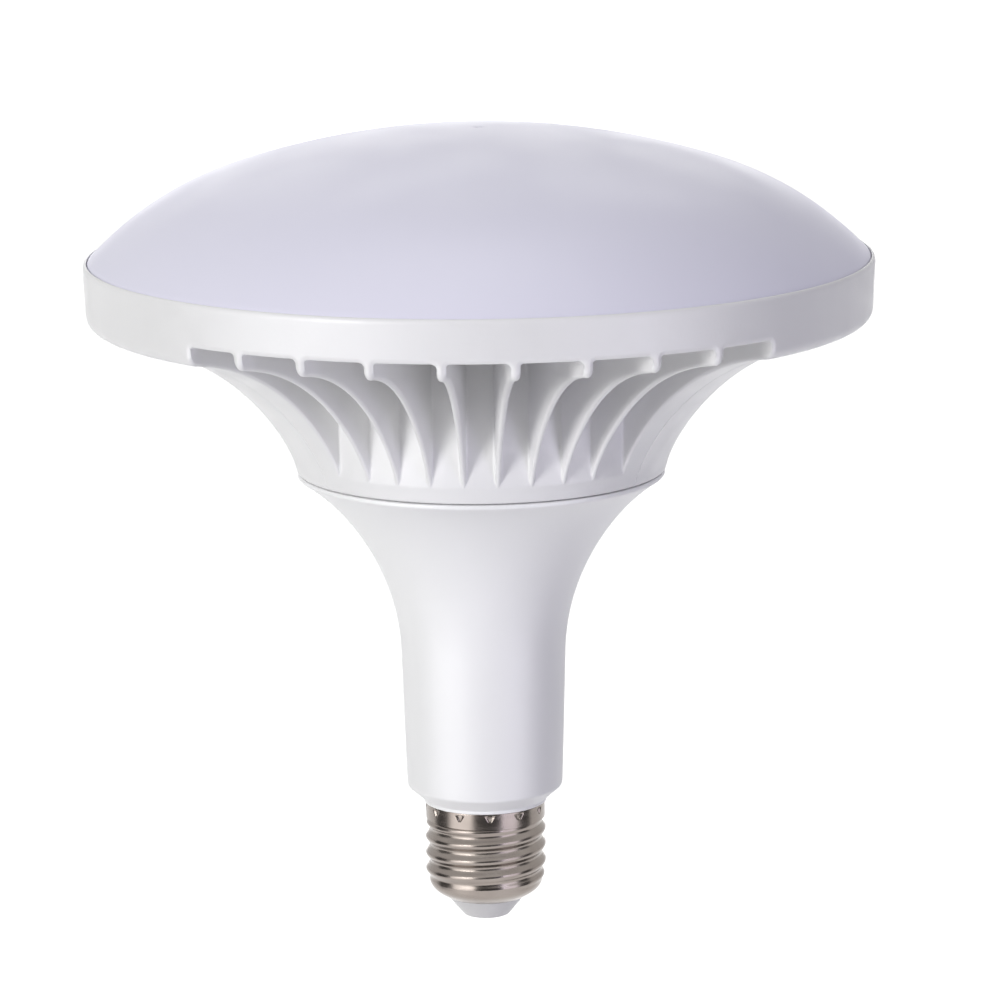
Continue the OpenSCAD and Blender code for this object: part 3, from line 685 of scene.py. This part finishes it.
def diffuser(material):
    """The milky dome: two tangent arcs outside, with its edge, skirt and snap bead."""
    crown_r, crown_half, shoulder_r = 174.4, 54.2, 69.1
    edge_r, skirt_r, bead, wall = 83.45, 82.15, 0.3, 1.4
    tilt = math.asin(crown_half / crown_r)
    centre_r = crown_half - shoulder_r * math.sin(tilt)
    edge_a = math.acos((edge_r - centre_r) / shoulder_r)
    centre_z = LEDGE_Z + 1 - shoulder_r * math.sin(edge_a)
    crown_z = centre_z - (crown_r - shoulder_r) * math.cos(tilt)
    top = 90 - math.degrees(tilt)
    first = math.degrees(math.acos((edge_r - 0.25 - centre_r) / shoulder_r))
    outside = arc((centre_r, centre_z), shoulder_r, first, top, 30)
    outside += arc((0, crown_z), crown_r, top, 89.4, 26)[1:]
    apex = crown_z + crown_r
    # The small mark of the gate at the middle of the dome
    outside += [(1.25, apex - 0.02), (1.0, apex - 0.16), (0.6, apex - 0.2), (0.35, apex + 0.02),
                (0, apex + 0.03)]
    inside = [(0, apex - wall)]
    inside += arc((0, crown_z), crown_r - wall, 90, top, 16)[1:]
    inside += arc((centre_r, centre_z), shoulder_r - wall, top, first, 20)[1:-1]
    low = LEDGE_Z - 4
    edge = [(skirt_r - wall, low), (skirt_r, low), (skirt_r, low + 1.2),
            (skirt_r + bead, low + 1.6), (skirt_r, low + 2.0), (skirt_r, LEDGE_Z),
            (edge_r - 0.3, LEDGE_Z), (edge_r, LEDGE_Z + 0.3), (edge_r, LEDGE_Z + 0.75)]
    bm = turned(inside + edge + outside, 360)
    return piece(bm, "milky_dome", material, ["diffuser"], 60)


def neck(material):
    """The trumpet-shaped neck: lip over the cap, taper, flare and the band at its top."""
    draft = math.radians(1.7)
    flare_tilt = math.radians(32.3)
    low_r, flare_r, band_r, ring_r = 16.95, 39.0, 39.55, 37.2
    lip_r, spigot_r, spigot_low_r, spigot_bore = 13.4, 12.5, 11.75, 9.95
    wall = 1.8
    low_reach, high_reach = 18.7, 10.3
    top_r = low_r + (FLARE_Z - NECK_Z) * math.tan(draft)
    end = (flare_r, HOUSING_TOP - 1.25)
    low_handle = (top_r + low_reach * math.sin(draft), FLARE_Z + low_reach * math.cos(draft))
    high_handle = (end[0] - high_reach * math.cos(flare_tilt),
                   end[1] - high_reach * math.sin(flare_tilt))
    outside = rounded([
        (lip_r - 0.4, LIP_Z, 0), (lip_r, LIP_Z, 0.2), (lip_r + 0.05, LIP_Z + 0.75, 0.25),
        (low_r - 0.05, NECK_Z - 0.35, 1.1), (low_r + 0.12, NECK_Z + 4, 0)], 6)
    outside += curve((top_r, FLARE_Z), low_handle, high_handle, end, 60)
    outside += rounded([
        (flare_r + 0.01, HOUSING_TOP - 1.24, 0), (band_r - 0.2, HOUSING_TOP - 1.0, 0.3),
        (band_r, HOUSING_TOP - 0.75, 0.2), (band_r, HOUSING_TOP, 0.3),
        (ring_r, HOUSING_TOP, 0)], 4)
    ring = [(ring_r, HOUSING_TOP + 5), (ring_r - wall, HOUSING_TOP + 5),
            (ring_r - wall, HOUSING_TOP)]
    floor_z, step_z = NECK_Z + 0.6, THREAD_Z + 2.5
    inside = [(r - wall, z + 1.2) for r, z in outside if z > FLARE_Z and r < 36.5][::-1]
    inside += [(low_r - wall, floor_z), (spigot_bore, floor_z), (spigot_bore, step_z),
               (spigot_low_r, step_z), (spigot_low_r, COLLAR_Z + 0.4),
               (spigot_r, COLLAR_Z + 1.3), (spigot_r, LIP_Z)]
    bm = turned(outside + ring + inside, 256)
    return piece(bm, "trumpet_neck", material, ["driver_housing"], 50)


def insulator(material):
    """The insulator's cone below the screw shell, and the disc that the shell holds."""
    hole_r, low_r, cone_r, disc_r = 0.95, 5.0, 8.5, 9.05
    low, disc_low, disc_top = 0.5, SHELL_Z + 1.3, SHELL_Z + 3.2
    line = rounded([(hole_r, low, 0), (low_r, low, 0.9), (cone_r, SHELL_Z - 0.15, 0.2),
                    (cone_r + 0.05, SHELL_Z + 0.7, 0), (disc_r, disc_low, 0),
                    (disc_r, disc_top, 0), (hole_r, disc_top, 0)], 5)
    return piece(turned(line, 128), "cap_insulator_cone", material, ["cap_insulator"],
                 50)


# The rolled thread: pitch, turn in degrees, crest and root, how far it fades in and out at
# its ends, and the share of its height that is left there
THREAD_PITCH = 3.629
THREAD_TURN = 60
CREST_R = 13.15
ROOT_THREAD_R = 12.25
FADE_IN = 1.6
FADE_OUT = 1.2
FADED_SHARE = 0.12

# The shell before the thread and the marks are pressed in
MOUTH_R = 8.9
BLANK_R = 12.3
COLLAR_R = 13.0
SHELL_WALL = 0.35

# The V-shaped staking marks in the collar: number, turn in degrees, height, distance from
# the shell's top, half width above and below, and depth
DIMPLES = 12
DIMPLE_TURN = 4.5
DIMPLE_H = 1.55
DIMPLE_DROP = 0.45
DIMPLE_WIDE = 1.25
DIMPLE_POINT = 0.1
DIMPLE_DEEP = 0.6


def shell_outline():
    """The screw shell's plain outline, before the thread and the dimples are pressed in."""
    shoulder = curve((MOUTH_R, SHELL_Z), (10.8, SHELL_Z + 1.1), (BLANK_R, SHELL_Z + 1.9),
                     (BLANK_R + 0.05, THREAD_Z), 14)
    steps = 90
    thread_h = COLLAR_Z - THREAD_Z
    thread = [(BLANK_R, THREAD_Z + thread_h * i / steps) for i in range(1, steps + 1)]
    collar = [(COLLAR_R, COLLAR_Z + 0.25 + 0.12 * i) for i in range(28)]
    collar += [(COLLAR_R, SHELL_TOP - 0.15), (COLLAR_R - 0.1, SHELL_TOP)]
    inside = [(COLLAR_R - SHELL_WALL, SHELL_TOP), (COLLAR_R - SHELL_WALL, COLLAR_Z + 0.8)]
    inside += [(BLANK_R - 0.4, COLLAR_Z), (BLANK_R - 0.4, THREAD_Z + 0.4)]
    inside += [(r - SHELL_WALL, z + 0.25) for r, z in shoulder[2:-1]][::-1]
    inside += [(MOUTH_R - 0.3, SHELL_Z + 0.4), (MOUTH_R - 0.3, SHELL_Z + 0.05)]
    return shoulder + thread + collar + inside


def thread_radius(z, a):
    """Radius of the rolled thread at a height and an angle."""
    turn = (z - THREAD_Z) / THREAD_PITCH - (a + math.radians(THREAD_TURN)) / FULL_TURN
    wave = (1 + math.cos(FULL_TURN * turn)) / 2
    fade = max(0, min(1, (z - THREAD_Z) / FADE_IN, (COLLAR_Z - z) / FADE_OUT))
    share = wave * fade + FADED_SHARE * (1 - fade)
    return ROOT_THREAD_R + (CREST_R - ROOT_THREAD_R) * share


def dimple_depth(z, a):
    """How far a V-shaped staking mark presses the collar in at a point of it."""
    step = 360 / DIMPLES
    off = (math.degrees(a) + 90 - DIMPLE_TURN + step / 2) % step - step / 2
    across = abs(math.radians(off)) * COLLAR_R
    height = SHELL_TOP - DIMPLE_DROP - z
    if not 0 < height < DIMPLE_H:
        return 0
    wide = (DIMPLE_WIDE - DIMPLE_POINT) * (1 - height / DIMPLE_H) + DIMPLE_POINT
    flank = max(0, 1 - across / wide) ** 0.8
    return DIMPLE_DEEP * flank * min(1, height / 0.25)


def screw_shell(material):
    """The screw shell, with its thread and its ring of staking marks."""
    bm = turned(shell_outline(), 360)
    for v in bm.verts:
        r = math.hypot(v.co.x, v.co.y) / MM
        z = v.co.z / MM
        a = math.atan2(v.co.y, v.co.x)
        new = r
        if abs(r - BLANK_R) < 0.06 and THREAD_Z - 0.01 < z < COLLAR_Z + 0.01:
            new = thread_radius(z, a)
        elif abs(r - COLLAR_R) < 0.01:
            new = r - dimple_depth(z, a)
        if new != r:
            v.co.x *= new / r
            v.co.y *= new / r
    bmesh.ops.recalc_face_normals(bm, faces=bm.faces)
    return piece(bm, "screw_shell", material, ["cap_shell"], 50)


def contact(material):
    """The contact's round head and the pin behind it."""
    head_r, pin_r, head_h = 2.4, 0.9, 0.5
    pin_top = SHELL_Z + 3.5
    line = rounded([(0, 0, 0), (head_r - 0.4, 0, 0.6), (head_r, head_h - 0.1, 0.1),
                    (head_r, head_h, 0), (pin_r, head_h, 0), (pin_r, pin_top, 0),
                    (0, pin_top, 0)], 5)
    return piece(turned(line, 64), "contact_pin", material, ["centre_contact"],
                 40)


# Camera and light

# Height of the floor, and radius and height of the screens, in metres
FLOOR_Z = -0.6
SCREEN_R = 1.2
SCREEN_H = 1.1

WHITE = (1, 1, 1)
LAVENDER = (0.81, 0.77, 1.0)
PALE_LAVENDER = (0.93, 0.90, 1.0)

# Name, place and size in metres, power in watts and colour
SOFTBOXES = (
    ("left_softbox", (-1.2, -1.4, 0.53), (0.6, 0.6), 19.6, WHITE),
    ("right_softbox", (1.2, -1.48, 0.2), (0.45, 1.4), 7.3, LAVENDER),
    ("top_softbox", (0.0, 0.1, 1.9), (1.2, 1.2), 6.5, WHITE),
    ("high_back_softbox", (0.0, 1.6, 1.2), (1.2, 1.0), 2.8, WHITE),
    ("back_softbox", (0.0, 2.0, 0.15), (1.2, 0.9), 6.0, WHITE))

# Name, first and last angle in degrees, brightness and colour
SCREENS = (
    ("left_dark_screen", -112, -76, 0.1, WHITE),
    ("left_bright_screen", -70, -26, 2.7, WHITE),
    ("front_dark_screen", -23, 31, 0.08, WHITE),
    ("right_bright_screen", 35, 64, 2.2, PALE_LAVENDER),
    ("right_dark_screen", 68, 96, 0.1, WHITE))


def camera():
    """The photograph's camera: 11.8 degrees above the horizon, a metre away."""
    tilt = math.radians(11.773)
    roll = math.radians(0.621)
    ahead = Vector((0, math.cos(tilt), -math.sin(tilt)))
    right = Vector((1, 0, 0))
    up = Vector((0, math.sin(tilt), math.cos(tilt)))
    aim = Vector((4.03, 0, 92.90)) * MM
    distance = 1.0
    turned_right = right * math.cos(roll) - up * math.sin(roll)
    turned_up = right * math.sin(roll) + up * math.cos(roll)
    data = bpy.data.cameras.new("camera")
    data.lens = 166.62
    data.sensor_width = 36
    data.sensor_fit = "HORIZONTAL"
    data.clip_start = 0.01
    data.clip_end = 50
    obj = bpy.data.objects.new("camera", data)
    scene.collection.objects.link(obj)
    columns = Matrix((turned_right, turned_up, -ahead)).transposed().to_4x4()
    obj.matrix_world = Matrix.Translation(aim - ahead * distance) @ columns
    scene.camera = obj


def lamp(name, place, aim, size, power, colour):
    data = bpy.data.lights.new(name, "AREA")
    data.shape = "RECTANGLE"
    data.size, data.size_y = size
    data.energy = power
    data.color = colour
    obj = bpy.data.objects.new(name, data)
    obj.location = place
    obj.rotation_euler = (Vector(aim) - Vector(place)).to_track_quat("-Z", "Y").to_euler()
    scene.collection.objects.link(obj)


def seen_white(tree, lit, white):
    """Mixes a shader with plain white for the rays that see the background."""
    nodes, links = tree.nodes, tree.links
    path = nodes.new("ShaderNodeLightPath")
    seen = path.outputs["Is Camera Ray"]
    for key in ("Is Glossy Ray", "Is Transmission Ray"):
        add = nodes.new("ShaderNodeMath")
        add.operation = "MAXIMUM"
        links.new(seen, add.inputs[0])
        links.new(path.outputs[key], add.inputs[1])
        seen = add.outputs[0]
    mix = nodes.new("ShaderNodeMixShader")
    links.new(seen, mix.inputs[0])
    links.new(lit, mix.inputs[1])
    links.new(white, mix.inputs[2])
    return mix.outputs[0]


def world_light(level):
    world = bpy.data.worlds.new("studio")
    scene.world = world
    world.use_nodes = True
    nodes, links = world.node_tree.nodes, world.node_tree.links
    lit = nodes["Background"]
    lit.inputs["Color"].default_value = (1, 1, 1, 1)
    lit.inputs["Strength"].default_value = level
    white = nodes.new("ShaderNodeBackground")
    white.inputs["Color"].default_value = (1, 1, 1, 1)
    white.inputs["Strength"].default_value = 1.0
    out = seen_white(world.node_tree, lit.outputs[0], white.outputs[0])
    links.new(out, nodes["World Output"].inputs["Surface"])


def stage_object(bm, name, material_name):
    """An object of the studio, and the node tree of its new material."""
    mesh = bpy.data.meshes.new(name)
    bm.to_mesh(mesh)
    bm.free()
    obj = bpy.data.objects.new(name, mesh)
    scene.collection.objects.link(obj)
    material = bpy.data.materials.new(material_name)
    material.use_nodes = True
    mesh.materials.append(material)
    return obj, material.node_tree


def screen(name, first, last, glow, colour):
    """A screen of the studio that only shiny surfaces show, as an arc about the lamp;
    its angles are counted from the front, to the right."""
    bm = bmesh.new()
    a = math.radians(first - 90)
    foot = Vector((SCREEN_R * math.cos(a), SCREEN_R * math.sin(a), FLOOR_Z + 0.01))
    low = bm.verts.new(foot)
    high = bm.verts.new(foot + Vector((0, 0, SCREEN_H)))
    edge = bm.edges.new((low, high))
    bmesh.ops.spin(bm, geom=[low, high, edge], cent=(0, 0, 0), axis=(0, 0, 1),
                   angle=math.radians(last - first), steps=8)
    obj, tree = stage_object(bm, name, name)
    light = tree.nodes.new("ShaderNodeEmission")
    light.inputs["Color"].default_value = (*colour, 1)
    light.inputs["Strength"].default_value = glow
    tree.links.new(light.outputs[0], tree.nodes["Material Output"].inputs["Surface"])
    obj.visible_camera = obj.visible_diffuse = obj.visible_shadow = False
    obj.visible_transmission = False


def floor():
    """The studio's floor, which the camera and shiny surfaces see nearly white."""
    bm = bmesh.new()
    bmesh.ops.create_grid(bm, x_segments=1, y_segments=1, size=12)
    bmesh.ops.translate(bm, verts=bm.verts, vec=(0, 0, FLOOR_Z))
    obj, tree = stage_object(bm, "studio_floor", "pale_floor")
    nodes, links = tree.nodes, tree.links
    shader = nodes["Principled BSDF"]
    shader.inputs["Base Color"].default_value = (0.8, 0.8, 0.8, 1)
    shader.inputs["Roughness"].default_value = 0.9
    glow = nodes.new("ShaderNodeEmission")
    glow.inputs["Strength"].default_value = 0.95
    both = nodes.new("ShaderNodeAddShader")
    links.new(shader.outputs[0], both.inputs[0])
    links.new(glow.outputs[0], both.inputs[1])
    out = seen_white(tree, shader.outputs[0], both.outputs[0])
    links.new(out, nodes["Material Output"].inputs["Surface"])


# Making it all

def dress_inner_nodes():
    """Finishes for the pieces inside the lamp."""
    looks = {
        "led_board": plain_plastic("white_solder_mask", (0.85, 0.85, 0.82), 0.35),
        "led_chips": plain_plastic("yellow_phosphor", (0.90, 0.72, 0.20), 0.3),
        "board_screws": plain_metal("zinc_screws", (0.68, 0.69, 0.71)),
        "wire_bush": plain_plastic("bush_nylon", (0.85, 0.84, 0.78), 0.45),
        "led_connector": plain_plastic("connector_nylon", (0.87, 0.85, 0.78), 0.4),
        "driver_board": plain_plastic("green_board", (0.05, 0.22, 0.10), 0.35),
        "transformer": plain_plastic("ferrite", (0.05, 0.045, 0.04), 0.5),
        "input_capacitor": plain_plastic("blue_sleeve", (0.03, 0.05, 0.14), 0.25),
        "film_capacitor": plain_plastic("yellow_film_case", (0.70, 0.45, 0.06), 0.3),
        "choke": plain_plastic("choke_ferrite", (0.08, 0.06, 0.05), 0.5),
        "fuse_resistor": plain_plastic("blue_lacquer", (0.10, 0.32, 0.40), 0.3),
        "varistor": plain_plastic("varistor_lacquer", (0.04, 0.12, 0.40), 0.3),
        "bridge_rectifier": plain_plastic("black_case", (0.02, 0.02, 0.022), 0.45),
        "live_wire": plain_plastic("brown_insulation", (0.18, 0.07, 0.03), 0.4),
        "neutral_wire": plain_plastic("blue_insulation", (0.04, 0.14, 0.45), 0.4),
        "led_wire_red": plain_plastic("red_insulation", (0.45, 0.03, 0.02), 0.4),
        "led_wire_black": plain_plastic("black_insulation", (0.015, 0.015, 0.016), 0.4),
    }
    looks["housing_screws"] = looks["board_screws"]
    looks["output_capacitor"] = looks["input_capacitor"]
    looks["driver_chip"] = looks["bridge_rectifier"]
    looks["output_diode"] = looks["bridge_rectifier"]
    for name, material in looks.items():
        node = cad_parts[name]
        for slot in node.material_slots:
            slot.material = material


camera()
world_light(0.205)
floor()
for name, first, last, glow, colour in SCREENS:
    screen(name, first, last, glow, colour)
for name, place, size, power, colour in SOFTBOXES:
    lamp(name, place, (0, 0, 0.1), size, power, colour)

finned_head(cast_paint())
diffuser(milky_plastic())
neck(neck_plastic())
insulator(plain_plastic("insulator_white", (0.65, 0.64, 0.645), 0.35))
screw_shell(nickel())
contact(plain_metal("contact_metal", (0.66, 0.63, 0.58), 0.28))
dress_inner_nodes()

scene.view_settings.view_transform = "Standard"
